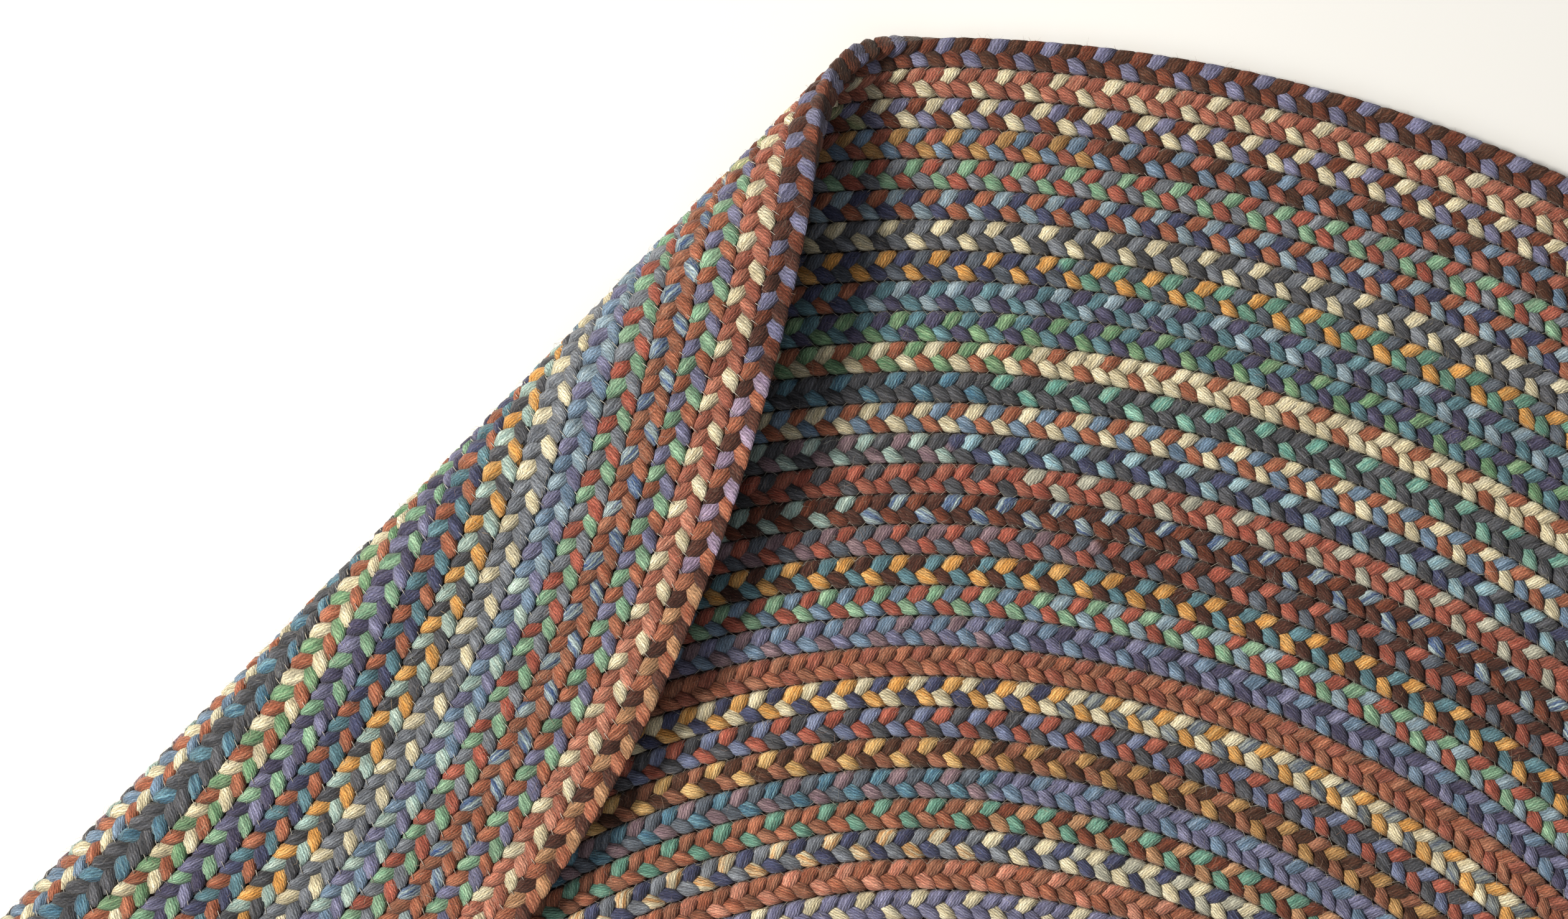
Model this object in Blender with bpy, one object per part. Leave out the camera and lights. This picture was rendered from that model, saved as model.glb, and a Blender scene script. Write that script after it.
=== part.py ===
"""A round braided wool rug, laid flat with one side folded over onto the rest.

The rug is one flat length of three-strand braid after another, each butted round the last and laced
to it, so it is one solid: a round slab of the braid's thickness. It is modelled flat and then bent.
Metres, +Z up. The origin is the rings' common centre, on the flat underside. +Y points away from a
person who stands at the near edge, and the folded side is beyond and to the left.
"""

import math
from collections import namedtuple

import bmesh
import bpy
from mathutils import Vector

# The rug laid flat
BRAID_WIDTH = 0.0098  # one ring: a flat braid of 3/8 inch class
RING_COUNT = 51
RADIUS = RING_COUNT * BRAID_WIDTH
THICKNESS = 0.007
RIM_ROUNDING = 0.0028  # the outermost braid's rounded side
RIM_SIDES = 132
RIM_STEPS = 3

# The fold: a straight roll across the rug, square to this heading, that reaches this far from the centre
FOLD_HEADING_DEG = 135.8  # counter-clockwise from +X
FOLD_REACH = 0.3625

# Sections across the roll, in order along it: where the section is, the radius at which mid-thickness
# turns over, and how many degrees the layer on top then leans down towards its free edge.
Section = namedtuple("Section", "along roll_radius lean_deg")
SECTIONS = (
    Section(-0.36, 0.0170, 8.0),
    Section(-0.20, 0.0150, 9.0),
    Section(0.00, 0.0145, 10.0),
    Section(0.12, 0.0165, 10.0),
    Section(0.24, 0.0205, 9.0),
    Section(0.36, 0.0175, 8.0),
)

# Facets of the bent part
ROLL_START = 0.3370  # nearer the centre than this the rug lies flat
ROLL_END = 0.4090  # further out than this the top layer is straight
ROLL_STEP = 0.0030
FLAP_STEP = 0.0230
ALONG_STEP = 0.0240

WOOL_COLOUR = (0.30, 0.21, 0.17, 1.0)
WOOL_ROUGHNESS = 0.95
SMOOTH_BELOW = math.radians(35)

HEADING = Vector((math.cos(math.radians(FOLD_HEADING_DEG)), math.sin(math.radians(FOLD_HEADING_DEG)), 0))
ALONG = Vector((HEADING.y, -HEADING.x, 0))


def clear_scene():
    for item in list(bpy.data.objects):
        bpy.data.objects.remove(item, do_unlink=True)


def slope_at(index, field):
    """How fast a column of SECTIONS changes along the roll, at one of its rows."""
    before = SECTIONS[max(index - 1, 0)]
    after = SECTIONS[min(index + 1, len(SECTIONS) - 1)]
    return (getattr(after, field) - getattr(before, field)) / (after.along - before.along)


def section_value(field, along):
    """A column of SECTIONS, read smoothly between its rows."""
    along = min(max(along, SECTIONS[0].along), SECTIONS[-1].along)
    index = 0
    while index < len(SECTIONS) - 2 and along > SECTIONS[index + 1].along:
        index += 1
    low, high = SECTIONS[index], SECTIONS[index + 1]
    span = high.along - low.along
    t = (along - low.along) / span
    rise = 3 * t**2 - 2 * t**3
    return (
        getattr(low, field) * (1 - rise)
        + getattr(high, field) * rise
        + span * slope_at(index, field) * (t**3 - 2 * t**2 + t)
        + span * slope_at(index + 1, field) * (t**3 - t**2)
    )


def folded(point):
    """Where a point of the flat rug goes when its far left side is rolled over."""
    along = point.dot(ALONG)
    out = point.dot(HEADING)
    radius = section_value("roll_radius", along)
    lean = math.radians(section_value("lean_deg", along))
    start = FOLD_REACH - THICKNESS / 2 - radius
    past = out - start
    if past <= 0:
        return point.copy()
    turn = min(past / radius, math.pi + lean)
    straight = past - turn * radius
    above_middle = point.z - THICKNESS / 2
    new_out = start + radius * math.sin(turn) + straight * math.cos(turn) - above_middle * math.sin(turn)
    height = (
        THICKNESS / 2
        + radius * (1 - math.cos(turn))
        + straight * math.sin(turn)
        + above_middle * math.cos(turn)
    )
    return ALONG * along + HEADING * new_out + Vector((0, 0, height))


def spaced(low, high, step):
    count = max(1, math.ceil((high - low) / step))
    return [low + (high - low) * i / count for i in range(count + 1)]


def flat_slab():
    """The rug laid out flat: a round slab with a rounded rim."""
    mesh = bmesh.new()
    bmesh.ops.create_cone(
        mesh, cap_ends=True, segments=RIM_SIDES, radius1=RADIUS, radius2=RADIUS, depth=THICKNESS
    )
    bmesh.ops.translate(mesh, verts=mesh.verts, vec=(0, 0, THICKNESS / 2))
    rims = [edge for edge in mesh.edges if abs(edge.verts[0].co.z - edge.verts[1].co.z) < THICKNESS / 2]
    bmesh.ops.bevel(
        mesh, geom=rims, offset=RIM_ROUNDING, segments=RIM_STEPS, profile=0.5, affect="EDGES"
    )
    return mesh


def cut_across(mesh, faces, direction, distance):
    """Splits the given faces where they cross the plane at this distance along this direction."""
    edges = {edge for face in faces for edge in face.edges}
    verts = {vert for face in faces for vert in face.verts}
    bmesh.ops.bisect_plane(
        mesh,
        geom=list(verts) + list(edges) + list(faces),
        dist=1e-6,
        plane_co=direction * distance,
        plane_no=direction,
    )


def cut_for_bending(mesh):
    """Adds the crease lines: close together in the roll, wider on the layer that folds over."""
    for distance in spaced(ROLL_START, ROLL_END, ROLL_STEP) + spaced(ROLL_END, RADIUS, FLAP_STEP)[1:-1]:
        cut_across(mesh, list(mesh.faces), HEADING, distance)
    half_length = math.sqrt(RADIUS**2 - ROLL_START**2)
    for place in spaced(-half_length, half_length, ALONG_STEP)[1:-1]:
        bent = [
            face for face in mesh.faces if face.calc_center_median().dot(HEADING) > ROLL_START
        ]
        cut_across(mesh, bent, ALONG, place)


def wool_material():
    material = bpy.data.materials.new("braid")
    material.use_nodes = True
    shader = material.node_tree.nodes["Principled BSDF"]
    shader.inputs["Base Color"].default_value = WOOL_COLOUR
    shader.inputs["Roughness"].default_value = WOOL_ROUGHNESS
    shader.inputs["Metallic"].default_value = 0.0
    return material


def braided_rug(collection):
    bent = flat_slab()
    cut_for_bending(bent)
    for vert in bent.verts:
        vert.co = folded(vert.co)
    bmesh.ops.triangulate(bent, faces=[face for face in bent.faces if len(face.verts) > 3])
    bmesh.ops.recalc_face_normals(bent, faces=bent.faces)
    mesh = bpy.data.meshes.new("braided_rug")
    bent.to_mesh(mesh)
    bent.free()
    mesh.materials.append(wool_material())
    mesh.shade_smooth()
    mesh.set_sharp_from_angle(angle=SMOOTH_BELOW)
    collection.objects.link(bpy.data.objects.new("braided_rug", mesh))


def main():
    clear_scene()
    rug = bpy.data.collections.new("braided_rug")
    bpy.context.scene.collection.children.link(rug)
    braided_rug(rug)


main()
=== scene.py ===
"""The looks of a round braided rug with one side rolled over: its plaited wools, lacing and light.

Every length is in metres, in the frame of the CAD: the rings' centre is the origin, +Z is up and
straight ahead is +Y. The rug is worked out as it lies flat, in polar places and a height above its
underside, and each point is then taken through the same roll that bends the CAD's slab.
"""

import math
from collections import namedtuple

import bmesh
import bpy
import numpy as np
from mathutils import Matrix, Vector


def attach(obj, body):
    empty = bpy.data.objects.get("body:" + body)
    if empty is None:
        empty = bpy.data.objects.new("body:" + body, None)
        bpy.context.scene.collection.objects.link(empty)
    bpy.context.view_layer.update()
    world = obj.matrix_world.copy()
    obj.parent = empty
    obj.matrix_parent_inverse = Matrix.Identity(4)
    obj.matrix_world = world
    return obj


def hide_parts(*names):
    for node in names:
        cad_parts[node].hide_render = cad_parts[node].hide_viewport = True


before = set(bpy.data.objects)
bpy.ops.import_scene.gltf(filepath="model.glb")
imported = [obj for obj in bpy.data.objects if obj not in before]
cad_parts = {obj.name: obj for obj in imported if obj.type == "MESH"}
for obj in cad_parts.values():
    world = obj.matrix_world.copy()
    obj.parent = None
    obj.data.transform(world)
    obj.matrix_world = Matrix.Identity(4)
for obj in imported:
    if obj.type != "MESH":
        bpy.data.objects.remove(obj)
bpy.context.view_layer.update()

rng = np.random.default_rng(11)

# ---------------------------------------------------------------- the rug, as the CAD has it
BRAID_WIDTH = 0.0098
RING_COUNT = 51
RADIUS = RING_COUNT * BRAID_WIDTH
THICKNESS = 0.007
FOLD_HEADING = math.radians(135.8)
FOLD_REACH = 0.3625

Section = namedtuple("Section", "along roll_radius lean_deg")
SECTIONS = (
    Section(-0.36, 0.0170, 8.0),
    Section(-0.20, 0.0150, 9.0),
    Section(0.00, 0.0145, 10.0),
    Section(0.12, 0.0165, 10.0),
    Section(0.24, 0.0205, 9.0),
    Section(0.36, 0.0175, 8.0),
)

# ---------------------------------------------------------------- the plait
LOBE_PITCH = 0.00573  # from one lobe to the next along one side of the braid
PERIOD = 3 * LOBE_PITCH  # along the braid, for a strand to swing out, in and out again
LEAD_PHASE = 45  # degrees, of the first strand at its ring's lead: the middle of an outer lobe
SWING = 0.0043  # of a strand's middle to either side of the braid's, before the braids are pressed
LIFT = 0.0016  # of a strand's middle above and below the braid's
TURN_LAG = 0.00075  # along the braid: it gets on less where it turns over the side, more where it crosses
STRAND_WIDTH = 0.0053
STRAND_DEPTH = 0.0035  # where it crosses
CROSSING_SPREAD = 0.0001  # how much wider it is where it crosses, and narrower where it turns
TURN_FILL = 0.0034  # how much deeper it is where it turns, and so how far along the side it reaches
PUFF = 0.05  # how much fuller a strand is in the middle of a lobe than at its ends
DIVE_PAINTED_SHADE = 0.22  # painted shade: how much darker a strand's colour is made at the ends of a lobe, where it dives under the others
DIVE_SHARPNESS = 1.5

# The neighbouring rings leave a braid half of its width to each side. Higher hardness is a flatter side.
PRESSED_HALF = 0.0050  # on the face
LOCKED_HALF = 0.0056  # on the reverse, where the lobes of two rings lock into each other
PRESSED_HARDNESS = 5.0
RIM_HALF = 0.00475  # the same for the rug's outer edge, which is drawn tight
RIM_HARDNESS = 9.0

# Unevenness: how much, how many waves go round a ring, and its shift from ring to ring, strand to strand.
Wave = namedtuple("Wave", "size count by_ring by_strand")
TIMING = Wave(0.14, 7, 2.1, 1.0)  # radians, of where the lobes come
QUICK_TIMING = Wave(0.10, 31, 1.0, 4.0)
PLUMPNESS = Wave(0.07, 97, 1.7, 2.3)  # a share of a strand's thickness
PLUMPNESS_BEAT = Wave(1.0, 5, 1.0, 0.0)
WANDER = Wave(0.00022, 11, 1.3, 0.0)  # metres, of the whole braid to its sides
QUICK_WANDER = Wave(0.00014, 29, 0.7, 0.0)

Detail = namedtuple("Detail", "steps sides girth")  # a tube's girth makes up for its flat sides
FINE = Detail(15, 7, 1.03)
RIM_FINE = Detail(18, 12, 1.12)  # for the outermost ring, whose outline shows
CENTRE_RINGS = 5  # the innermost, which are fine all the way round
MOST_TRIANGLES = 185_000  # in one piece

# A lobe's stations are phases in degrees from its middle; each is three points across, but for its tips.
Lobe = namedtuple("Lobe", "stations faces")
FULL_LOBE = Lobe(
    (-53, -27, 0, 27, 53),
    ((0, 2, 1), (0, 3, 2), (1, 2, 5, 4), (2, 3, 6, 5), (4, 5, 8, 7), (5, 6, 9, 8), (7, 8, 10), (8, 9, 10)),
)
PLAIN_LOBE = Lobe((-55, 0, 55), ((0, 2, 1), (0, 3, 2), (1, 2, 4), (2, 3, 4)))
# The way round a strand that each side of the rug faces, and the phase at the middle of each lobe.
FACE, REVERSE = 90, 270
LOBES = ((45, FACE), (135, REVERSE), (225, FACE), (315, REVERSE))
LOBE_GIRTH = 1.1
LOBE_OVERLAP = 0.12  # of a period, past the places where the tubes end
LOBE_TRIANGLES = 32  # at most, in a period of one strand

# ---------------------------------------------------------------- the camera, which the detail follows
IMAGE_SHAPE = (2520, 1477)
VIEW_CENTRE = (-0.0448, 0.3637)
VIEW_WIDTH = 0.504  # of the frame, at the height of the rug's face
VIEW_HEIGHT = 1.10  # of the camera, looking straight down
SENSOR_MM = 36.0
FINE_MARGIN = 0.008  # past the frame's edges
TURNED_FROM = 0.55 * THICKNESS  # the rug's middle is higher than this once it has started up the roll
FLAT_BELOW = 1.1 * THICKNESS  # and nothing of the layer that lies flat is higher than this
HIDDEN_BEHIND = 0.030  # further under the turned-over layer than this nothing shows

# ---------------------------------------------------------------- the wools, as sRGB, with their flecks
WOOLS = {
    "cream": ((226, 211, 172), (240, 230, 200)),
    "pale_grey": ((176, 176, 162), (206, 203, 184)),
    "sage": ((150, 168, 122), (214, 206, 164)),
    "green": ((100, 146, 108), (144, 178, 138)),
    "sea_green": ((116, 160, 130), (160, 196, 164)),
    "teal_green": ((88, 140, 124), (128, 174, 154)),
    "aqua": ((96, 160, 150), (150, 196, 178)),
    "pale_aqua": ((150, 180, 176), (192, 212, 202)),
    "teal": ((80, 118, 132), (112, 152, 164)),
    "blue_teal": ((58, 100, 128), (112, 154, 172)),
    "light_blue": ((128, 168, 186), (172, 202, 210)),
    "steel": ((128, 152, 170), (166, 186, 198)),
    "denim": ((96, 123, 151), (134, 157, 182)),
    "sky_melange": ((16, 62, 130), (178, 196, 198)),
    "periwinkle": ((104, 114, 150), (136, 146, 178)),
    "slate_lavender": ((104, 104, 138), (140, 140, 172)),
    "slate": ((78, 86, 99), (108, 117, 130)),
    "navy": ((56, 58, 88), (84, 90, 124)),
    "purple_navy": ((64, 60, 88), (92, 90, 120)),
    "grey_blue_melange": ((72, 86, 112), (158, 164, 160)),
    "lilac": ((146, 126, 156), (180, 160, 186)),
    "mauve": ((122, 98, 110), (152, 128, 136)),
    "grey": ((106, 111, 122), (142, 148, 158)),
    "charcoal": ((58, 60, 66), (98, 100, 108)),
    "chocolate": ((66, 38, 28), (94, 58, 44)),
    "maroon": ((64, 35, 30), (95, 56, 46)),
    "dark_rust": ((100, 48, 34), (134, 74, 54)),
    "rust": ((152, 83, 60), (188, 121, 93)),
    "rust_brown": ((138, 82, 62), (172, 117, 92)),
    "brick": ((158, 76, 62), (186, 106, 88)),
    "brown_rose": ((164, 94, 77), (196, 128, 106)),
    "terracotta": ((146, 78, 63), (178, 108, 90)),
    "rose": ((194, 118, 96), (220, 154, 130)),
    "tan": ((176, 126, 90), (204, 158, 120)),
    "ochre": ((174, 126, 74), (206, 162, 106)),
    "gold": ((216, 166, 98), (230, 190, 130)),
    "orange": ((218, 150, 72), (236, 182, 112)),
    "orange_cream": ((212, 148, 80), (234, 222, 190)),
}

# One row for each ring that was charted, from the outermost in:
# lead_mm, how far clockwise of straight ahead the first wool's outer lobe lies;
# first, the ring's three wools, in the order that their lobes follow each other clockwise;
# changes, headings in degrees counter-clockwise from +X, each with the three wools that run from there on.
Ring = namedtuple("Ring", "lead_mm first changes", defaults=((),))
CHART = (
    Ring(0.6, "rust tan maroon",
         ((114, "rust lilac maroon"), (106, "dark_rust slate_lavender maroon"),
          (95, "dark_rust slate_lavender chocolate"))),
    Ring(8.6, "cream rose brown_rose", ((112, "cream brown_rose terracotta"),)),
    Ring(2.8, "sea_green slate_lavender rust",
         ((99, "sage slate_lavender dark_rust"), (92.6, "cream slate_lavender dark_rust"))),
    Ring(9.0, "sky_melange rust rust_brown",
         ((99, "ochre denim terracotta"), (83.4, "chocolate denim terracotta"))),
    Ring(-3.6, "sea_green brick grey"),
    Ring(1.6, "pale_aqua denim slate_lavender",
         ((116, "steel denim slate_lavender"), (99, "rust steel navy"))),
    Ring(5.6, "cream grey grey", ((98, "cream charcoal grey"),)),
    Ring(4.8, "orange charcoal pale_aqua",
         ((106, "orange charcoal denim"), (98, "orange navy slate"), (84, "orange teal_green slate"))),
    Ring(-1.8, "navy teal rust", ((93, "purple_navy teal steel"),)),
    Ring(9.0, "sea_green slate_lavender purple_navy", ((99, "green teal purple_navy"),)),
    Ring(8.2, "rust green cream", ((85.3, "rust cream cream"),)),
    Ring(7.4, "blue_teal charcoal charcoal", ((86.9, "aqua charcoal charcoal"),)),
    Ring(-0.6, "cream denim rust"),
    Ring(-1.8, "pale_aqua charcoal mauve", ((88.6, "light_blue charcoal navy"),)),
    Ring(0.6, "charcoal terracotta brick", ((85, "pale_grey terracotta brick"),)),
    Ring(9.0, "pale_aqua dark_rust maroon", ((93.2, "sky_melange dark_rust maroon"),)),
    Ring(9.4, "brick slate mauve", ((80.7, "brick slate maroon"),)),
    Ring(8.6, "orange maroon teal"),
    Ring(-2.2, "brick sea_green denim", ((82.9, "brick sea_green steel"),)),
    Ring(-6.6, "mauve slate_lavender denim", ((85.4, "purple_navy slate_lavender denim"),)),
    Ring(-1.0, "terracotta rust_brown rust"),
    Ring(9.0, "orange cream navy", ((82.2, "orange cream grey_blue_melange"),)),
    Ring(-6.0, "charcoal periwinkle brick"),
    Ring(-5.2, "rust_brown gold chocolate", ((87.2, "rust_brown ochre chocolate"),)),
    Ring(8.6, "mauve slate blue_teal", ((85, "slate_lavender slate_lavender denim"),)),
    Ring(3.6, "teal_green rust_brown rust", ((87.2, "teal_green dark_rust tan"),)),
    Ring(4.4, "orange_cream navy grey", ((85.4, "cream navy grey"), (78.5, "cream navy pale_grey"))),
    Ring(9.0, "rose rust rust_brown"),
    Ring(-1.8, "cream slate_lavender slate_lavender"),
)
# Outside these headings nothing was charted, and wools are dealt by lot from the same shelf.
CHART_STARTS = (140.0, 178.0)  # the headings between which the charted wools begin, strand by strand
CHART_ENDS = 40.0
FIRST_HEADING, LAST_HEADING = 180.0, -180.0
DEALT_SPAN = (35.0, 95.0)  # degrees that a dealt strand runs before the next is joined on


def linear(srgb):
    """An sRGB colour in 0 to 255 as linear red, green and blue."""
    share = np.asarray(srgb, float) / 255
    return np.where(share <= 0.04045, share / 12.92, ((share + 0.055) / 1.055) ** 2.4)


WOOL_NAMES = list(WOOLS)
WOOL_BASE = np.array([linear(WOOLS[name][0]) for name in WOOL_NAMES])
WOOL_FLECK = np.array([linear(WOOLS[name][1]) for name in WOOL_NAMES])


# ---------------------------------------------------------------- the roll
HEADING = np.array([math.cos(FOLD_HEADING), math.sin(FOLD_HEADING)])
ALONG = np.array([HEADING[1], -HEADING[0]])


def section_value(field, along):
    """A column of SECTIONS, read smoothly between its rows."""
    places = np.array([section.along for section in SECTIONS])
    values = np.array([getattr(section, field) for section in SECTIONS])
    rows = np.arange(len(places))
    before, after = np.maximum(rows - 1, 0), np.minimum(rows + 1, len(places) - 1)
    slopes = (values[after] - values[before]) / (places[after] - places[before])
    along = np.clip(along, places[0], places[-1])
    low = np.clip(np.searchsorted(places, along) - 1, 0, len(places) - 2)
    span = places[low + 1] - places[low]
    t = (along - places[low]) / span
    rise = 3 * t**2 - 2 * t**3
    return (
        values[low] * (1 - rise)
        + values[low + 1] * rise
        + span * slopes[low] * (t**3 - 2 * t**2 + t)
        + span * slopes[low + 1] * (t**3 - t**2)
    )


def folded(x, y, height):
    """Where points of the flat rug go when its far left side is rolled over, as an (n, 3) array."""
    along = x * ALONG[0] + y * ALONG[1]
    out = x * HEADING[0] + y * HEADING[1]
    radius = section_value("roll_radius", along)
    lean = np.radians(section_value("lean_deg", along))
    start = FOLD_REACH - THICKNESS / 2 - radius
    past = np.maximum(out - start, 0)
    turn = np.minimum(past / radius, math.pi + lean)
    straight = past - turn * radius
    above_middle = height - THICKNESS / 2
    new_out = start + radius * np.sin(turn) + straight * np.cos(turn) - above_middle * np.sin(turn)
    new_height = (
        THICKNESS / 2
        + radius * (1 - np.cos(turn))
        + straight * np.sin(turn)
        + above_middle * np.cos(turn)
    )
    new_out = np.where(past > 0, new_out, out)
    new_height = np.where(past > 0, new_height, height)
    return np.stack(
        [
            along * ALONG[0] + new_out * HEADING[0],
            along * ALONG[1] + new_out * HEADING[1],
            np.maximum(new_height, 0.0),
        ],
        axis=-1,
    )


def laid(ring_radius, clockwise, lateral, height):
    """The same for places along a ring: metres clockwise of straight ahead, and out from its middle."""
    heading = math.pi / 2 - clockwise / ring_radius
    reach = ring_radius + lateral
    return folded(reach * np.cos(heading), reach * np.sin(heading), height)


# ---------------------------------------------------------------- meshes from arrays
class Heap:
    """Tubes and patches gathered for one mesh: points, polygons, places on the thread, and colours."""

    def __init__(self):
        self.points, self.corners, self.sizes, self.places = [], [], [], []
        self.base, self.fleck = [], []
        self.count = 0
        self.triangles = 0

    def add_tube(self, rings, along, base, fleck, closed, first_turn=0.0):
        """rings is (steps, sides, 3), along the metres run at each step, and the colours one a step.

        first_turn is where round the tube its first side begins, as a share of a turn.
        """
        steps, sides = rings.shape[:2]
        self.points.append(rings.reshape(-1, 3))
        self.base.append(np.repeat(base, sides, axis=0))
        self.fleck.append(np.repeat(fleck, sides, axis=0))
        last = steps if closed else steps - 1
        step, side = np.meshgrid(np.arange(last), np.arange(sides), indexing="ij")
        after, beside = (step + 1) % steps, (side + 1) % sides
        quads = np.stack(
            [step * sides + side, step * sides + beside, after * sides + beside, after * sides + side], -1
        )
        self.corners.append(quads.reshape(-1) + self.count)
        self.sizes.append(np.full(last * sides, 4))
        run = np.append(along, along[-1] + (along[-1] - along[-2]))
        here, there = run[step], run[step + 1]
        left, right = first_turn + side / sides, first_turn + (side + 1) / sides
        place = np.stack([np.stack([here, left], -1), np.stack([here, right], -1),
                          np.stack([there, right], -1), np.stack([there, left], -1)], axis=2)
        self.places.append(place.reshape(-1, 2))
        self.triangles += 2 * last * sides
        if not closed:
            around = np.arange(sides)
            for cap, where in ((around[::-1], 0), (around + (steps - 1) * sides, steps - 1)):
                self.corners.append(cap + self.count)
                self.sizes.append(np.array([sides]))
                self.places.append(np.stack([np.full(sides, run[where]), first_turn + around / sides], -1))
                self.triangles += sides - 2
        self.count += steps * sides

    def add_cells(self, points, faces, places, base, fleck):
        """Many small patches with the same faces: points is (patches, points of one, 3)."""
        patches, size = points.shape[:2]
        self.points.append(points.reshape(-1, 3))
        self.base.append(base.reshape(-1, 3))
        self.fleck.append(fleck.reshape(-1, 3))
        corner = np.array([index for face in faces for index in face])
        self.corners.append((corner[None, :] + size * np.arange(patches)[:, None]).reshape(-1) + self.count)
        self.sizes.append(np.tile([len(face) for face in faces], patches))
        self.places.append(places[:, corner].reshape(-1, 2))
        self.triangles += patches * sum(len(face) - 2 for face in faces)
        self.count += patches * size

    def mesh_object(self, name, material):
        points = np.concatenate(self.points)
        corners = np.concatenate(self.corners)
        sizes = np.concatenate(self.sizes)
        mesh = bpy.data.meshes.new(name)
        mesh.vertices.add(len(points))
        mesh.vertices.foreach_set("co", points.astype(np.float32).ravel())
        mesh.loops.add(len(corners))
        mesh.loops.foreach_set("vertex_index", corners.astype(np.int32))
        mesh.polygons.add(len(sizes))
        starts = np.concatenate([[0], np.cumsum(sizes)[:-1]])
        mesh.polygons.foreach_set("loop_start", starts.astype(np.int32))
        mesh.polygons.foreach_set("loop_total", sizes.astype(np.int32))
        mesh.polygons.foreach_set("use_smooth", np.ones(len(sizes), bool))
        mesh.update(calc_edges=True)
        thread = mesh.uv_layers.new(name="thread")
        thread.uv.foreach_set("vector", np.concatenate(self.places).astype(np.float32).ravel())
        for label, colours in (("wool", self.base), ("fleck", self.fleck)):
            values = np.concatenate(colours)
            layer = mesh.color_attributes.new(label, "FLOAT_COLOR", "POINT")
            rgba = np.concatenate([values, np.ones((len(values), 1))], axis=1)
            layer.data.foreach_set("color", rgba.astype(np.float32).ravel())
        mesh.validate()
        mesh.materials.append(material)
        piece = bpy.data.objects.new(name, mesh)
        bpy.context.scene.collection.objects.link(piece)
        return piece


# ---------------------------------------------------------------- which wool runs where
def dealt_spans(charted):
    """Each strand's (heading, wool) all the way round one ring: those charted, then wools dealt by lot."""
    strands = []
    for strand in range(3):
        changes = [(heading, names.split()[strand]) for heading, names in charted.changes]
        heading = CHART_ENDS - rng.uniform(0, DEALT_SPAN[1])
        while heading > LAST_HEADING:
            changes.append((heading, WOOL_NAMES[rng.integers(len(WOOL_NAMES))]))
            heading -= rng.uniform(*DEALT_SPAN)
        # The last wool dealt runs on, past the heading where the circle closes, to where the chart begins.
        chart_starts = (rng.uniform(*CHART_STARTS), charted.first.split()[strand])
        strands.append([(FIRST_HEADING, changes[-1][1]), chart_starts] + changes)
    return strands


def ring_plan():
    """For each ring: its lead, and its three strands' lists of (heading, wool)."""
    plan = []
    for ring in range(RING_COUNT):
        source = CHART[ring] if ring < len(CHART) else CHART[rng.integers(len(CHART))]
        lead = source.lead_mm / 1000 if ring < len(CHART) else rng.uniform(0, PERIOD)
        plan.append((lead, dealt_spans(source)))
    return plan


def wool_at(spans, heading_deg):
    """The index of the wool at each heading, in degrees from 180 down to -180."""
    starts = np.array([start for start, _ in spans])
    wools = np.array([WOOL_NAMES.index(name) for _, name in spans])
    # The last span whose heading isn't yet passed is the one that runs.
    return wools[np.clip((heading_deg[:, None] <= starts[None, :]).sum(1) - 1, 0, len(spans) - 1)]


# ---------------------------------------------------------------- how closely a place is seen
def seen_closely(points):
    """Whether each point is in the camera's frame, or just outside it."""
    scale = (VIEW_HEIGHT - THICKNESS) / (VIEW_HEIGHT - points[:, 2])
    across = np.abs((points[:, 0] - VIEW_CENTRE[0]) * scale)
    up = np.abs((points[:, 1] - VIEW_CENTRE[1]) * scale)
    half_width = VIEW_WIDTH / 2 + FINE_MARGIN
    half_height = VIEW_WIDTH / 2 * IMAGE_SHAPE[1] / IMAGE_SHAPE[0] + FINE_MARGIN
    return (across < half_width) & (up < half_height)


def free_edge_out(along):
    """How far out, square to the roll, the turned-over layer's free edge lies at places along it."""
    out = np.sqrt(np.maximum(RADIUS**2 - along**2, 0))
    edge = folded(ALONG[0] * along + HEADING[0] * out, ALONG[1] * along + HEADING[1] * out, 0 * along)
    return edge[:, 0] * HEADING[0] + edge[:, 1] * HEADING[1]


def covered(points):
    """Whether each point lies well under the layer that is folded over."""
    along = points[:, 0] * ALONG[0] + points[:, 1] * ALONG[1]
    out = points[:, 0] * HEADING[0] + points[:, 1] * HEADING[1]
    return (points[:, 2] < FLAT_BELOW) & (out > free_edge_out(along) + HIDDEN_BEHIND)


def runs_of(flags):
    """(start, length, value) of each run of equal values round a ring, which may pass the ring's start."""
    changes = np.flatnonzero(flags != np.roll(flags, 1))
    if not len(changes):
        return [(0, len(flags), bool(flags[0]))]
    ends = np.append(changes[1:], changes[0] + len(flags))
    return [(int(a), int(b - a), bool(flags[a])) for a, b in zip(changes, ends)]


# ---------------------------------------------------------------- the strands
# A course's shade is painted shade: a factor for the wools' colours, darker at the ends of each lobe.
Course = namedtuple("Course", "run lateral lift across upward width depth shade")


def ring_size(ring):
    """A ring's radius at its middle, and the length of one of its strands' periods."""
    ring_radius = RADIUS - (ring + 0.5) * BRAID_WIDTH
    return ring_radius, 2 * math.pi * ring_radius / round(2 * math.pi * ring_radius / PERIOD)


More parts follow.
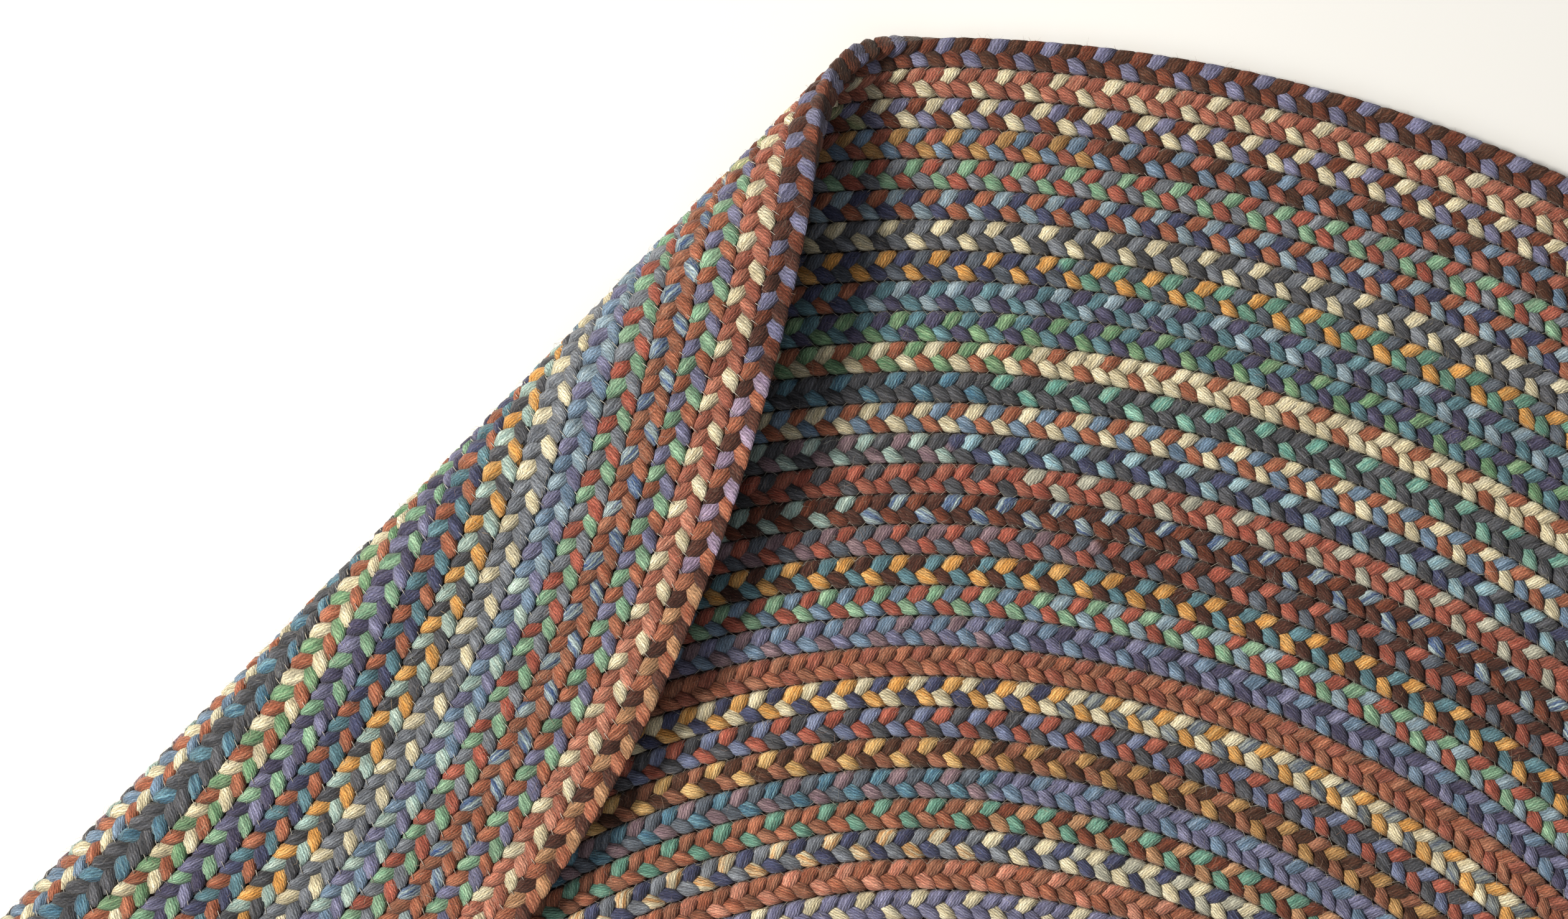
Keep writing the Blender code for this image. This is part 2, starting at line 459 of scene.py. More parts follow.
def strand_course(ring, strand, lead, even_run, girth):
    """A strand's middle, its two square directions and its size, at places given by an even run."""
    ring_radius, period = ring_size(ring)

    def uneven(wave):
        return wave.size * np.sin(
            wave.count * even_run / ring_radius + wave.by_ring * ring + wave.by_strand * strand
        )

    # The strand crosses the braid's middle at phase 0 and turns over its side a quarter of a turn on.
    # Halfway between it is highest, and the same below on its way back in.
    phase = 2 * math.pi * ((even_run - lead) / period - strand / 3) + math.radians(LEAD_PHASE)
    phase = phase + uneven(TIMING) + uneven(QUICK_TIMING)
    plump = (1 + uneven(PLUMPNESS) * uneven(PLUMPNESS_BEAT)) * girth * (1 - PUFF * np.cos(4 * phase))
    rate = 2 * math.pi / period
    run_rate = 1 + 2 * TURN_LAG * np.cos(2 * phase) * rate
    side_rate = SWING * np.cos(phase) * rate
    lift_rate = 2 * LIFT * np.cos(2 * phase) * rate
    tangent = np.stack([run_rate, side_rate, lift_rate], -1)
    tangent /= np.linalg.norm(tangent, axis=-1, keepdims=True)
    across = np.stack([-side_rate, run_rate, 0 * run_rate], -1)
    across /= np.linalg.norm(across, axis=-1, keepdims=True)
    return Course(
        run=even_run + TURN_LAG * np.sin(2 * phase),
        lateral=SWING * np.sin(phase) + uneven(WANDER) + uneven(QUICK_WANDER),
        lift=LIFT * np.sin(2 * phase),
        across=across,
        upward=np.cross(tangent, across),
        width=(STRAND_WIDTH + CROSSING_SPREAD * np.cos(2 * phase)) * plump,
        depth=(STRAND_DEPTH + TURN_FILL * np.sin(phase) ** 4) * plump,
        # Painted shade, darker at the ends of each lobe, where the strand dives under the others.
        shade=1 - DIVE_PAINTED_SHADE * (0.5 + 0.5 * np.cos(4 * phase)) ** DIVE_SHARPNESS,
    )


def strand_skin(ring, course, angles):
    """Points on a strand's surface, (places, angles, 3): a quarter of a turn is its top."""
    ring_radius, _ = ring_size(ring)
    offset = (
        course.across[:, None, :] * (course.width[:, None] / 2 * np.cos(angles))[..., None]
        + course.upward[:, None, :] * (course.depth[:, None] / 2 * np.sin(angles))[..., None]
    )
    rise = course.lift[:, None] + offset[..., 2]
    sideways = course.lateral[:, None] + offset[..., 1]
    limit = LOCKED_HALF + (PRESSED_HALF - LOCKED_HALF) * np.clip(rise / THICKNESS + 0.5, 0, 1)
    at_rim = (ring == 0) & (sideways > 0)
    limit = np.where(at_rim, RIM_HALF, limit)
    hardness = np.where(at_rim, RIM_HARDNESS, PRESSED_HARDNESS)
    pressed = sideways / (1 + np.abs(sideways / limit) ** hardness) ** (1 / hardness)
    height = np.clip(THICKNESS / 2 + rise, 0, None)
    return laid(ring_radius, course.run[:, None] + offset[..., 0], pressed, height)


def wool_along(ring, spans, even_run):
    """The index of a strand's wool at places along its ring."""
    ring_radius, _ = ring_size(ring)
    heading_deg = 90 - np.degrees(even_run / ring_radius)
    return wool_at(spans, (heading_deg + 180) % 360 - 180)


def thread_run(ring, even_run):
    """The length of thread up to a place, which is more than the ring's own length."""
    _, period = ring_size(ring)
    return even_run * math.sqrt(1 + (SWING * 2 * math.pi / period) ** 2 / 2)


def strand_tube(heap, ring, strand, lead, spans, first, periods, whole, detail):
    """One strand over some of its ring's periods, or all the way round, as a whole tube."""
    _, period = ring_size(ring)
    steps = periods * detail.steps + (0 if whole else 1)
    even_run = (first + np.arange(steps) / detail.steps) * period
    course = strand_course(ring, strand, lead, even_run, detail.girth)
    # Turns round the strand count from its top. Its first side, and so the pattern's seam, is at its flank.
    first_turn = -round(detail.sides / 4) / detail.sides
    angles = 2 * math.pi * (first_turn + 0.25 + np.arange(detail.sides) / detail.sides)
    points = strand_skin(ring, course, angles)
    wool = wool_along(ring, spans, even_run)
    # The wools' colours carry the painted shade at the ends of the lobes.
    shade = course.shade[:, None]
    base, fleck = WOOL_BASE[wool] * shade, WOOL_FLECK[wool] * shade
    heap.add_tube(points, thread_run(ring, even_run), base, fleck, whole, first_turn)


def in_sight(ring, even_run, crest):
    """Whether the face or the reverse of the rug is the side that shows, at places along a ring."""
    ring_radius, _ = ring_size(ring)
    middle = laid(ring_radius, even_run, 0 * even_run, 0 * even_run + THICKNESS / 2)
    turned_over = middle[:, 2] > TURNED_FROM
    return turned_over if crest == REVERSE else ~turned_over & ~covered(middle)


def add_lobes(heap, ring, strand, lead, spans, places, crest, lobe):
    """One kind of lobe at several places along a strand."""
    _, period = ring_size(ring)
    points, runs, arounds, shades = [], [], [], []
    for station in lobe.stations:
        at_tip = abs(station) == max(lobe.stations)
        angles = np.radians([crest] if at_tip else [crest - 90, crest, crest + 90])
        even_run = places + station / 360 * period
        course = strand_course(ring, strand, lead, even_run, LOBE_GIRTH)
        points.append(strand_skin(ring, course, angles))
        runs.append(np.repeat(thread_run(ring, even_run)[:, None], len(angles), 1))
        arounds.append(np.tile(angles / (2 * math.pi) - 0.25, (len(places), 1)))
        shades.append(np.repeat(course.shade[:, None], len(angles), 1))
    wool = wool_along(ring, spans, places)
    # The same painted shade at the ends of the lobes, in their colours.
    shade = np.concatenate(shades, 1)[..., None]
    heap.add_cells(
        np.concatenate(points, 1),
        lobe.faces,
        np.stack([np.concatenate(runs, 1), np.concatenate(arounds, 1)], -1),
        WOOL_BASE[wool][:, None, :] * shade,
        WOOL_FLECK[wool][:, None, :] * shade,
    )


def strand_lobes(heap, ring, strand, lead, spans, first, periods):
    """The same strand as separate lobes on the plait's two sides, fuller ones on the side that shows."""
    _, period = ring_size(ring)
    for middle, crest in LOBES:
        start = lead / period + strand / 3 + (middle - LEAD_PHASE) / 360
        least = math.ceil(first - LOBE_OVERLAP - start)
        most = math.floor(first + periods + LOBE_OVERLAP - start)
        places = (np.arange(least, most + 1) + start) * period
        shows = in_sight(ring, places, crest)
        for lobe, chosen in ((FULL_LOBE, shows), (PLAIN_LOBE, ~shows)):
            if chosen.any():
                add_lobes(heap, ring, strand, lead, spans, places[chosen], crest, lobe)


def ring_detail(ring):
    """Whether each period of a ring is made fine."""
    ring_radius, period = ring_size(ring)
    periods = round(2 * math.pi * ring_radius / period)
    if ring >= RING_COUNT - CENTRE_RINGS:
        return np.ones(periods, bool)
    run = (np.arange(periods) + 0.5) * period
    middle = laid(ring_radius, run, 0 * run, 0 * run + THICKNESS / 2)
    return seen_closely(middle) & ~covered(middle)


def braid_pieces(plan, material):
    """All the strands, joined a few rings to a piece."""
    pieces, heap, first_ring = [], Heap(), 0
    for ring, (lead, strands) in enumerate(plan):
        detail = RIM_FINE if ring == 0 else FINE
        fine = ring_detail(ring)
        fine_periods = int(fine.sum())
        expected = 3 * (
            fine_periods * 2 * detail.steps * detail.sides + (len(fine) - fine_periods) * LOBE_TRIANGLES
        )
        if heap.triangles and heap.triangles + expected > MOST_TRIANGLES:
            pieces.append(heap.mesh_object(f"braid_rings_{first_ring + 1:02}_{ring:02}", material))
            heap, first_ring = Heap(), ring
        for strand in range(3):
            for start, length, is_fine in runs_of(fine):
                if is_fine:
                    whole = length == len(fine)
                    strand_tube(heap, ring, strand, lead, strands[strand], start, length, whole, detail)
                else:
                    strand_lobes(heap, ring, strand, lead, strands[strand], start, length)
    pieces.append(heap.mesh_object(f"braid_rings_{first_ring + 1:02}_{RING_COUNT:02}", material))
    return pieces


# ---------------------------------------------------------------- lacing and loose fibre
THIN_SIDES = 3
OFF_AXIS = (0.31, 0.17, 0.93)  # a direction that no thread or fibre runs in
TAPERED_TO = 0.25  # of its first radius, for a fibre

LACING_RADIUS = 0.00011
LACING_REACH = 0.0015  # to either side of the gap between two rings
LACING_SINK = 0.0006  # of its stitches below the braids' highest
LACING_UNEVEN = 0.12  # of a lobe's pitch, along the gap
LACING_SWINGS = (0.75, 1.1)  # of its reach
LACING_HEIGHTS = (-0.00025, 0.00015)
LACING_GREYS = ((132, 126, 112), (182, 176, 162))
# The same thread on the reverse, where it slants over the gap in the full light; its greys are painted
# lighter than on the face: painted light.
STITCH_RADIUS = 1.4 * LACING_RADIUS
STITCH_SLANT = 0.0013  # along the gap
STITCH_SLANTS = (0.6, 1.3)  # of its slant
STITCH_REACH = 0.8 * LACING_REACH
STITCH_REACHES = (0.8, 1.2)  # of its reach
STITCH_UNEVEN = 0.1
STITCH_LIFT = (0.0003, 0.00012, 0.0003)  # of its two ends and its middle above the underside
STITCH_LIT_GREYS = ((186, 180, 168), (222, 216, 204))

FIBRE_COUNT = 4400
FIBRE_STEPS = 3
FIBRE_TRIANGLES = 2 * THIN_SIDES * (FIBRE_STEPS - 1) + 2 * (THIN_SIDES - 2)
FIBRE_RADIUS = 0.00005
FIBRE_LENGTHS = (0.0015, 0.0045)
FIBRE_BENDS = (-0.9, 0.9)  # radians, from one end to the other
FIBRE_RISES = (0.0004, 0.0016)
FIBRE_ARCHES = (0.4, 0.9)  # how much of an arch it makes, from one end of it to the other
FIBRE_ROOT = 0.97 * THICKNESS
FIBRE_GREY = (218, 206, 186)
FIBRE_PALENESS = 0.5  # how far its colour goes from its wool's fleck to that grey
FIBRE_SHADE = 0.8  # of its darker lengths
# Those that stand out from the rug's edge.
EDGE_FIBRE_SHARE = 0.6  # of the outermost ring's
EDGE_FIBRE_ROOT = (0.45 * BRAID_WIDTH, 0.5 * THICKNESS)  # out from the ring's middle, and up
EDGE_FIBRE_SPREAD = (0.4, 0.5)  # of its length, along the edge and out from it


def thin_tube(heap, line, radius, base, fleck, taper=False):
    """A tube of a few sides along a short run of points."""
    ahead = np.gradient(line, axis=0)
    ahead /= np.linalg.norm(ahead, axis=1, keepdims=True)
    side = np.cross(ahead, OFF_AXIS)
    side /= np.linalg.norm(side, axis=1, keepdims=True)
    up = np.cross(side, ahead)
    around = 2 * math.pi * np.arange(THIN_SIDES) / THIN_SIDES
    girth = np.linspace(radius, radius * (TAPERED_TO if taper else 1), len(line))
    rings = (
        line[:, None, :]
        + girth[:, None, None] * np.cos(around)[None, :, None] * side[:, None, :]
        + girth[:, None, None] * np.sin(around)[None, :, None] * up[:, None, :]
    )
    run = np.append(0, np.cumsum(np.linalg.norm(np.diff(line, axis=0), axis=1)))
    heap.add_tube(rings, run, np.tile(base, (len(line), 1)), np.tile(fleck, (len(line), 1)), False)


def lacing(material):
    """The thread that joins each ring to the next: zigzags on the face, slanting stitches below."""
    heap = Heap()
    base, fleck = linear(LACING_GREYS[0]), linear(LACING_GREYS[1])
    # The stitches on the reverse get the same thread's greys painted lighter: painted light.
    stitch_lit_base, stitch_lit_fleck = linear(STITCH_LIT_GREYS[0]), linear(STITCH_LIT_GREYS[1])
    for gap in range(1, RING_COUNT):
        gap_radius = RADIUS - gap * BRAID_WIDTH
        count = round(2 * math.pi * gap_radius / LOBE_PITCH)
        pitch = 2 * math.pi * gap_radius / count
        start = rng.uniform(0, pitch)
        run = start + np.arange(count) * pitch
        middle = laid(gap_radius, run, 0 * run, 0 * run + THICKNESS / 2)
        shown = seen_closely(middle) & ~covered(middle)
        for first, length, value in runs_of(shown):
            if not value:
                continue
            turns = start + (first + np.arange(2 * length + 1) / 2) * pitch
            turns = turns + rng.uniform(-LACING_UNEVEN, LACING_UNEVEN, len(turns)) * pitch
            way = np.where(np.arange(len(turns)) % 2, 1, -1)
            swing = LACING_REACH * way * rng.uniform(*LACING_SWINGS, len(turns))
            height = THICKNESS - LACING_SINK + rng.uniform(*LACING_HEIGHTS, len(turns))
            thin_tube(heap, laid(gap_radius, turns, swing, height), LACING_RADIUS, base, fleck)
        # Past the start of the roll the reverse face can show.
        turned_over = shown & (middle[:, 2] > THICKNESS)
        for place in run[turned_over]:
            slant = STITCH_SLANT * rng.uniform(*STITCH_SLANTS)
            at = place + rng.uniform(-STITCH_UNEVEN, STITCH_UNEVEN) * pitch
            reach = STITCH_REACH * rng.uniform(*STITCH_REACHES)
            ends = laid(
                gap_radius,
                np.array([at, at + slant / 2, at + slant]),
                np.array([reach, 0, -reach]),
                np.array(STITCH_LIFT),
            )
            thin_tube(heap, ends, STITCH_RADIUS, stitch_lit_base, stitch_lit_fleck)
    return heap.mesh_object("lacing_thread", material)


def stray_fibres(plan, material):
    """Single hairs of wool that stand off the strands."""
    heap = Heap()
    steps = np.linspace(0, 1, FIBRE_STEPS)
    while heap.triangles < FIBRE_COUNT * FIBRE_TRIANGLES:
        ring = int(rng.integers(RING_COUNT))
        ring_radius, _ = ring_size(ring)
        run = rng.uniform(0, 2 * math.pi) * ring_radius
        lateral = rng.uniform(-0.5, 0.5) * BRAID_WIDTH
        at_edge = ring == 0 and rng.uniform() < EDGE_FIBRE_SHARE
        height = FIBRE_ROOT
        if at_edge:
            lateral, height = EDGE_FIBRE_ROOT
        middle = laid(ring_radius, np.array([run]), np.array([lateral]), np.array([THICKNESS / 2]))
        # A shorter ring keeps fewer, so that they are as close together on every ring.
        keep = rng.uniform() < ring_radius / RADIUS
        if not keep or not seen_closely(middle)[0] or covered(middle)[0]:
            continue
        length = rng.uniform(*FIBRE_LENGTHS)
        way = rng.uniform(0, 2 * math.pi)
        course = way + rng.uniform(*FIBRE_BENDS) * steps
        runs = run + length * steps * np.cos(course)
        sides = lateral + length * steps * np.sin(course)
        if at_edge:
            runs = run + EDGE_FIBRE_SPREAD[0] * length * steps * np.cos(way)
            sides = lateral + EDGE_FIBRE_SPREAD[1] * length * steps
        rise = rng.uniform(*FIBRE_RISES) * np.sin(math.pi * rng.uniform(*FIBRE_ARCHES) * steps)
        heights = height + rise
        if middle[0, 2] > THICKNESS:
            heights = THICKNESS - heights
        line = laid(ring_radius, runs, sides, heights)
        wool = wool_along(ring, plan[ring][1][int(rng.integers(3))], np.array([run]))[0]
        pale = (1 - FIBRE_PALENESS) * WOOL_FLECK[wool] + FIBRE_PALENESS * linear(FIBRE_GREY)
        thin_tube(heap, line, FIBRE_RADIUS, FIBRE_SHADE * pale, pale, taper=True)
    return heap.mesh_object("stray_fibres", material)


# ---------------------------------------------------------------- materials
PLIES_ROUND = 18  # plied ends that show round one strand
END_WAVER = 0.045  # how far the ends stray round the strand, in turns
STRAND_TWIST = 1 / 0.034  # turns that the ends make round the strand in a metre
PLY_TWIST = 1 / 0.0015  # turns that each end's own two plies make in a metre
PLY_SLANT = 1.2  # how far the plies are out of step from one end to the next
ROUNDING = 0.75  # of an end's ridge: less is flatter on top
LOOSE_FIBRE_AND_SHEEN = (0.72, 0.62, 0.50, 1.0)  # the pale hairs that lie across every wool: real loose fibre, made paler with painted sheen
LOOSE_SHARE = 0.22
# painted shade: the dark browns of the gaps between the braids, which lie in shade
CORE_PAINTED_SHADE_COLOURS = ((0.028, 0.020, 0.017, 1.0), (0.070, 0.052, 0.044, 1.0))
FLOOR_COLOURS = ((0.92, 0.92, 0.917, 1.0), (0.95, 0.95, 0.947, 1.0))

# Noise in the object's own space, with its scale in features to a metre.
Noise = namedtuple("Noise", "scale detail roughness", defaults=(0.5,))
WAVER = Noise(700.0, 2.0)  # of the ends
CROWDING = Noise(2600.0, 2.0, 0.7)  # of single fibres
LOBE_TONE = Noise(190.0, 1.0)
SLOW_TONE = Noise(23.0, 2.0)  # across the rug
THREAD_TONE = Noise(900.0, 1.0)
CORE_TONE = Noise(420.0, 4.0)
FLOOR_TONE = Noise(3.0, 2.0)

# Noise that is drawn out along the strand: features to a metre along it, and to a turn round it. A grain
# may start further along, or slant: by so many features along in a turn, and so many round in a metre.
Grain = namedtuple(
    "Grain", "along around detail roughness start slant_along slant_round", defaults=(0.5, 0, 0, 0)
)
HAIR = Grain(260.0, 55.0, 3.0, 0.65)
STREAK = Grain(70.0, 0.55 * PLIES_ROUND, 1.0)
END_TONE = Grain(130.0, 0.8 * PLIES_ROUND, 1.0, start=17.0)
FUZZ = Grain(330.0, 150.0, 2.0, 0.6, slant_along=9.0, slant_round=-2900.0)

# A smooth step from low to high in a pattern, and what it gives at each.
Step = namedtuple("Step", "low high to_low to_high", defaults=(0.0, 1.0))
STREAK_FLECK = Step(0.42, 0.60, 0.0, 0.95)  # how much of the fleck's colour
HAIR_FLECK = Step(0.35, 0.70, 0.0, 0.45)
FUZZ_LOOSE_AND_SHEEN = Step(0.51, 0.68, 0.0, 0.62)  # how much of the loose fibre's colour, which is partly painted sheen
# painted shade: darker in the grooves between the ends' ridges
RIDGE_PAINTED_SHADE = Step(0.0, 0.80, 0.58, 1.04)
LOBE_SHADE = Step(0.32, 0.68, 0.80, 1.18)
SLOW_SHADE = Step(0.3, 0.7, 0.93, 1.06)
# painted shade: darker where each end's two plies meet
PLY_PAINTED_SHADE = Step(0.0, 1.0, 0.80, 1.10)
END_SHADE = Step(0.35, 0.65, 0.80, 1.15)
CROWDING_SHADE = Step(0.30, 0.70, 0.70, 1.24)
# painted shade: darker on a strand's sides, which lie against its neighbours
FLANK_PAINTED_SHADE = Step(0.55, 1.0, 1.0, 0.72)
THREAD_FLECK = Step(0.4, 0.6)
CORE_STEP = Step(0.35, 0.65)
FLOOR_STEP = Step(0.3, 0.7)

BUMP_STRENGTH = 0.8
WOOL_RELIEF = 0.00022
CORE_RELIEF = 0.0004
# How far each pattern stands up beside the ends' ridges.
PLY_RELIEF = 0.25
CROWDING_RELIEF = 0.6
HAIR_RELIEF = 0.6

WOOL_SURFACE = {
    "Roughness": 0.92,
    "Specular IOR Level": 0.22,
    "Sheen Weight": 0.18,
    "Sheen Roughness": 0.5,
    "Sheen Tint": (1.0, 0.95, 0.9, 1.0),
}
THREAD_SURFACE = {"Roughness": 0.45, "Specular IOR Level": 0.4}
CORE_SURFACE = {"Roughness": 1.0, "Specular IOR Level": 0.1}
FLOOR_SURFACE = {"Roughness": 0.8}


class Nodes:
    """A material's node tree, with a short way to add and join its nodes."""

    def __init__(self, name):
        self.material = bpy.data.materials.new(name)
        self.material.use_nodes = True
        self.tree = self.material.node_tree
        self.shader = self.tree.nodes["Principled BSDF"]

    def add(self, kind, settings=None, **inputs):
        """A new node. inputs are its sockets by name, or by number as i0, i1 and so on."""
        node = self.tree.nodes.new(kind)
        for key, value in (settings or {}).items():
            setattr(node, key, value)
        for key, value in inputs.items():
            by_number = key[0] == "i" and key[1:].isdigit()
            self.put(value, node.inputs[int(key[1:]) if by_number else key])
        return node

    def put(self, value, socket):
        if isinstance(value, bpy.types.Node):
            value = value.outputs[0]
        if isinstance(value, bpy.types.NodeSocket):
            self.tree.links.new(value, socket)
        else:
            socket.default_value = value

    def math(self, operation, a, b=0.0, c=0.0):
        return self.add("ShaderNodeMath", {"operation": operation}, i0=a, i1=b, i2=c).outputs[0]

    def mix(self, factor, a, b, blend="MIX"):
        """Two colours mixed: the node's own colour sockets are its seventh and eighth."""
        node = self.add("ShaderNodeMix", {"data_type": "RGBA", "blend_type": blend})
        self.put(factor, node.inputs[0])
        self.put(a, node.inputs[6])
        self.put(b, node.inputs[7])
        return node.outputs[2]

    def product(self, first, *factors):
        for factor in factors:
            first = self.math("MULTIPLY", first, factor)
        return first

    def ramp(self, value, step):
        node = self.add("ShaderNodeMapRange", {"interpolation_type": "SMOOTHSTEP"})
        for socket, given in zip(node.inputs, (value, *step)):
            self.put(given, socket)
        return node.outputs[0]

    def object_space(self):
        return self.add("ShaderNodeTexCoord").outputs["Object"]

    def attribute(self, name):
        return self.add("ShaderNodeAttribute", {"attribute_name": name}).outputs["Color"]

    def noise(self, vector, noise):
        node = self.add("ShaderNodeTexNoise", Vector=vector, Scale=noise.scale, Detail=noise.detail)
        self.put(noise.roughness, node.inputs["Roughness"])
        return node.outputs[0]

    def grain(self, run, around, grain):
        """Noise on the strand's skin, at so many metres along it and so many turns round it."""
        along = self.math("MULTIPLY_ADD", run, grain.along, grain.start)
        turns = self.math("MULTIPLY", around, grain.around)
        if grain.slant_along:
            along = self.math("MULTIPLY_ADD", around, grain.slant_along, along)
        if grain.slant_round:
            turns = self.math("MULTIPLY_ADD", run, grain.slant_round, turns)
        place = self.add("ShaderNodeCombineXYZ", i0=along, i1=turns)
        return self.noise(place.outputs[0], Noise(1.0, grain.detail, grain.roughness))

    def bump(self, height, distance):
        node = self.add("ShaderNodeBump", Strength=BUMP_STRENGTH, Distance=distance, Height=height)
        self.put(node, self.shader.inputs["Normal"])

    def finish(self, colour, settings):
        self.put(colour, self.shader.inputs["Base Color"])
        for name, value in settings.items():
            self.shader.inputs[name].default_value = value
        return self.material


def wool_material():
    """Plied wool: each strand's own colour and fleck, its ends as fine ridges, painted shade in its grooves
    and on its sides, and loose fibre paler with painted sheen.
    """
    n = Nodes("plied_wool")
    place = n.add("ShaderNodeSeparateXYZ", i0=n.add("ShaderNodeUVMap", {"uv_map": "thread"}))
    run, around = place.outputs[0], place.outputs[1]
    solid = n.object_space()

    # The ends: ridges that wind round the strand, each of two plies.
    turned = n.math("MULTIPLY_ADD", run, STRAND_TWIST, around)
    turned = n.math("MULTIPLY_ADD", n.math("SUBTRACT", n.noise(solid, WAVER), 0.5), END_WAVER, turned)
    end_phase = n.math("MULTIPLY", turned, math.pi * PLIES_ROUND)
    ridge = n.math("POWER", n.math("ABSOLUTE", n.math("SINE", end_phase)), ROUNDING)
    ply_phase = n.math("MULTIPLY", end_phase, PLY_SLANT)
    ply_phase = n.math("MULTIPLY_ADD", run, 2 * math.pi * PLY_TWIST, ply_phase)
    ply = n.math("MULTIPLY_ADD", n.math("SINE", ply_phase), 0.5, 0.5)
    crowding = n.noise(solid, CROWDING)
    hair = n.grain(run, around, HAIR)

    # Colour: from the strand's own to its fleck's, and to the loose fibre's, which is paler with painted
    # sheen.
    base, fleck = n.attribute("wool"), n.attribute("fleck")
    colour = n.mix(n.ramp(n.grain(run, turned, STREAK), STREAK_FLECK), base, fleck)
    colour = n.mix(n.ramp(hair, HAIR_FLECK), colour, fleck)
    loose = n.mix(LOOSE_SHARE, fleck, LOOSE_FIBRE_AND_SHEEN)
    colour = n.mix(n.ramp(n.grain(run, around, FUZZ), FUZZ_LOOSE_AND_SHEEN), colour, loose)

    # Shade: each pattern is a factor. The lobe, slow, end and crowding ones are the wool's own tone, which
    # differs at random; the ridge and ply ones are painted shade, darker in the grooves between the ends
    # and where each end's plies meet. The sides of a strand, a quarter of a turn from its top, lie against
    # its
    # neighbours and get no light: painted shade there too.
    flank = n.math("ABSOLUTE", n.math("SINE", n.math("MULTIPLY", around, 2 * math.pi)))
    shade = n.product(
        n.ramp(ridge, RIDGE_PAINTED_SHADE),
        n.ramp(n.noise(solid, LOBE_TONE), LOBE_SHADE),
        n.ramp(n.noise(solid, SLOW_TONE), SLOW_SHADE),
        n.ramp(ply, PLY_PAINTED_SHADE),
        n.ramp(n.grain(run, turned, END_TONE), END_SHADE),
        n.ramp(crowding, CROWDING_SHADE),
        n.ramp(flank, FLANK_PAINTED_SHADE),
    )
    grey = n.add("ShaderNodeCombineColor", i0=shade, i1=shade, i2=shade)
    colour = n.mix(1.0, colour, grey.outputs[0], "MULTIPLY")

    fibres = n.math("MULTIPLY_ADD", crowding, CROWDING_RELIEF, n.math("MULTIPLY", hair, HAIR_RELIEF))
    n.bump(n.math("ADD", n.math("MULTIPLY_ADD", ply, PLY_RELIEF, ridge), fibres), WOOL_RELIEF)
    return n.finish(colour, WOOL_SURFACE)


def thread_material(name):
    """A single thread or hair: its own colour, a little lighter along some lengths, and a faint gloss."""
    n = Nodes(name)
    lighter = n.ramp(n.noise(n.object_space(), THREAD_TONE), THREAD_FLECK)
    return n.finish(n.mix(lighter, n.attribute("wool"), n.attribute("fleck")), THREAD_SURFACE)


def core_material():
    """The inside of the braids, which shows only down the gaps between them, coloured dark as painted
    shade.
    """
    n = Nodes("braid_core_painted_shade")
    noise = n.noise(n.object_space(), CORE_TONE)
    n.bump(noise, CORE_RELIEF)
    return n.finish(n.mix(n.ramp(noise, CORE_STEP), *CORE_PAINTED_SHADE_COLOURS), CORE_SURFACE)


def floor_material():
    n = Nodes("pale_floor")
    noise = n.noise(n.object_space(), FLOOR_TONE)
    return n.finish(n.mix(n.ramp(noise, FLOOR_STEP), *FLOOR_COLOURS), FLOOR_SURFACE)


# ---------------------------------------------------------------- the sheet inside the braids
CORE_INSET = 0.0030
WELD = 1e-5


def core_sheet(material):
    """A thin sheet at the middle of the rug's thickness: the CAD's own surface, set in."""
    slab = bpy.data.objects["braided_rug"]
    mesh = slab.data.copy()
    mesh.name = "rug_core"
    mesh.materials.clear()
    mesh.materials.append(material)
    welded = bmesh.new()
    welded.from_mesh(mesh)
    bmesh.ops.remove_doubles(welded, verts=welded.verts, dist=WELD)
    welded.to_mesh(mesh)
    welded.free()
    mesh.shade_smooth()
    points = np.empty(len(mesh.vertices) * 3)
    normals = np.empty(len(mesh.vertices) * 3)
    mesh.vertices.foreach_get("co", points)
    mesh.vertices.foreach_get("normal", normals)
    mesh.vertices.foreach_set("co", points - normals * CORE_INSET)
    mesh.update()
    core = bpy.data.objects.new("rug_core", mesh)
    core.matrix_world = slab.matrix_world.copy()
    bpy.context.scene.collection.objects.link(core)
    return core


# ---------------------------------------------------------------- floor, light and camera
FLOOR_SIZE = 8.0
AIM = (*VIEW_CENTRE, 0.0)

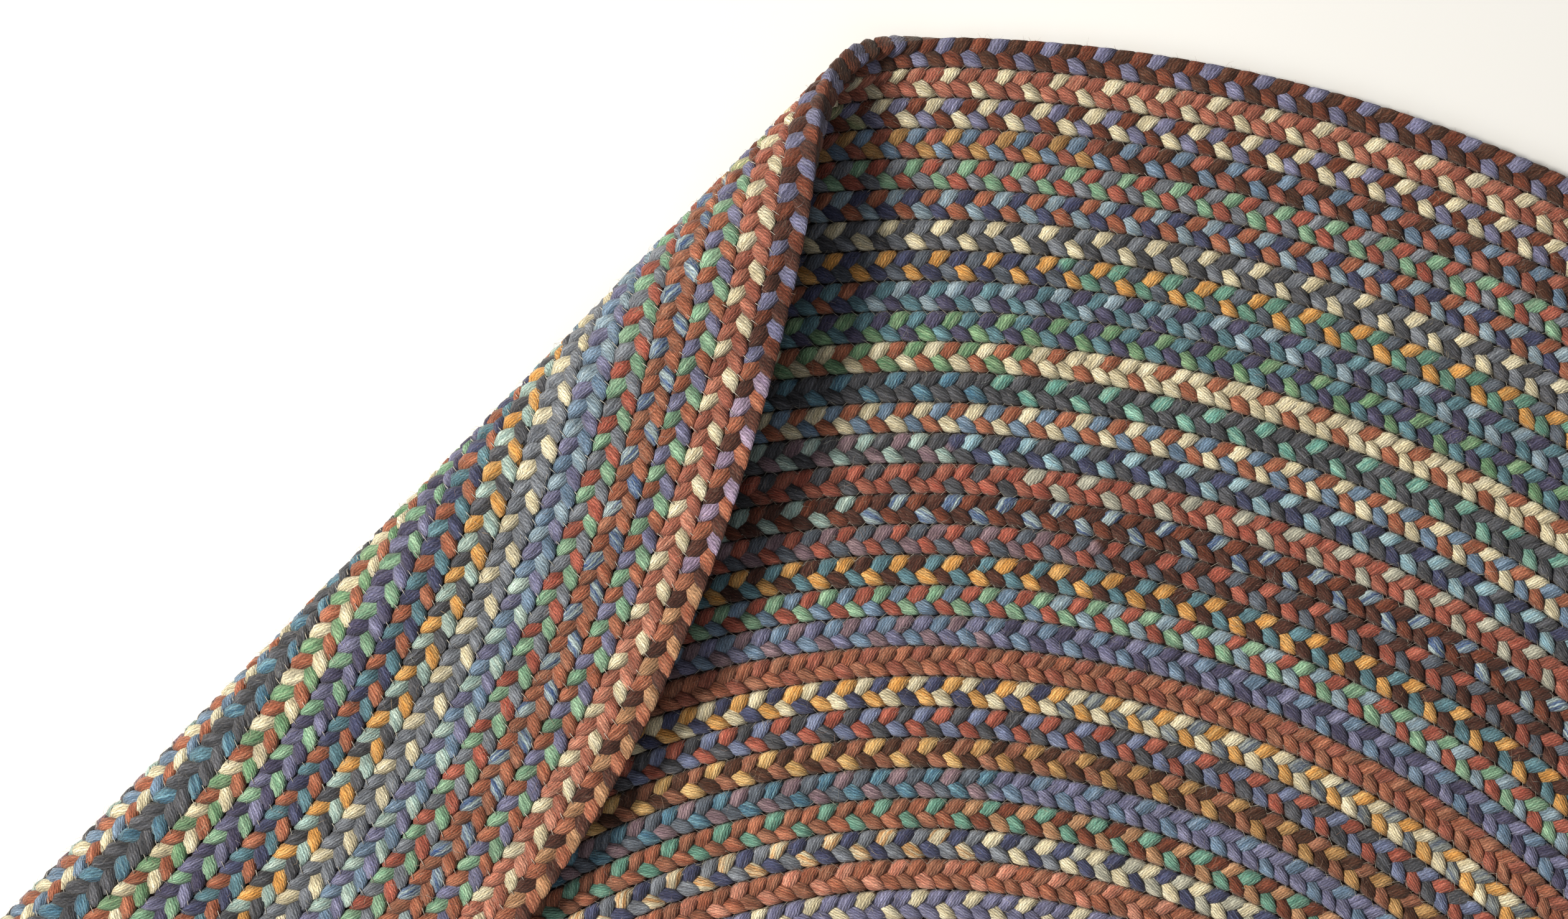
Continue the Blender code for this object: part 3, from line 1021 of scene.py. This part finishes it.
Lamp = namedtuple("Lamp", "name watts size place colour")
LAMPS = (
    Lamp("key", 45.5, 0.66, (-1.22, 0.64, 1.60), (1.0, 0.955, 0.86)),
    Lamp("fill", 8.0, 1.6, (-0.9, -0.5, 1.5), (1.0, 0.97, 0.93)),
)
BACKDROP_COLOUR = (0.97, 0.98, 1.0, 1.0)
BACKDROP_STRENGTH = 0.155


def area_light(lamp):
    data = bpy.data.lights.new(lamp.name, "AREA")
    data.shape = "DISK"
    data.size = lamp.size
    data.energy = lamp.watts
    data.color = lamp.colour
    light = bpy.data.objects.new(lamp.name, data)
    light.location = lamp.place
    light.rotation_euler = (Vector(AIM) - Vector(lamp.place)).to_track_quat("-Z", "Y").to_euler()
    bpy.context.scene.collection.objects.link(light)


def studio():
    """The floor, the two lamps and the dim backdrop."""
    bpy.ops.mesh.primitive_plane_add(size=FLOOR_SIZE, location=(0, 0, 0))
    floor = bpy.context.object
    floor.name = "floor"
    floor.data.materials.append(floor_material())
    for lamp in LAMPS:
        area_light(lamp)
    world = bpy.context.scene.world or bpy.data.worlds.new("studio")
    bpy.context.scene.world = world
    world.use_nodes = True
    backdrop = world.node_tree.nodes["Background"]
    backdrop.inputs["Color"].default_value = BACKDROP_COLOUR
    backdrop.inputs["Strength"].default_value = BACKDROP_STRENGTH


def camera():
    """The photo's view: straight down, with the photo's width of the rug's face from side to side."""
    lens = bpy.data.cameras.new("camera")
    lens.sensor_width = SENSOR_MM
    lens.lens = SENSOR_MM * (VIEW_HEIGHT - THICKNESS) / VIEW_WIDTH
    viewer = bpy.data.objects.new("camera", lens)
    viewer.location = (*VIEW_CENTRE, VIEW_HEIGHT)
    bpy.context.scene.collection.objects.link(viewer)
    bpy.context.scene.camera = viewer
    bpy.context.scene.view_settings.view_transform = "Standard"


# ---------------------------------------------------------------- the whole
def main():
    wool = wool_material()
    plan = ring_plan()
    core = core_sheet(core_material())
    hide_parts("braided_rug")
    parts = braid_pieces(plan, wool)
    parts += [lacing(thread_material("lacing")), stray_fibres(plan, thread_material("fibre"))]
    for piece in [core] + parts:
        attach(piece, "root")
    studio()
    camera()


main()
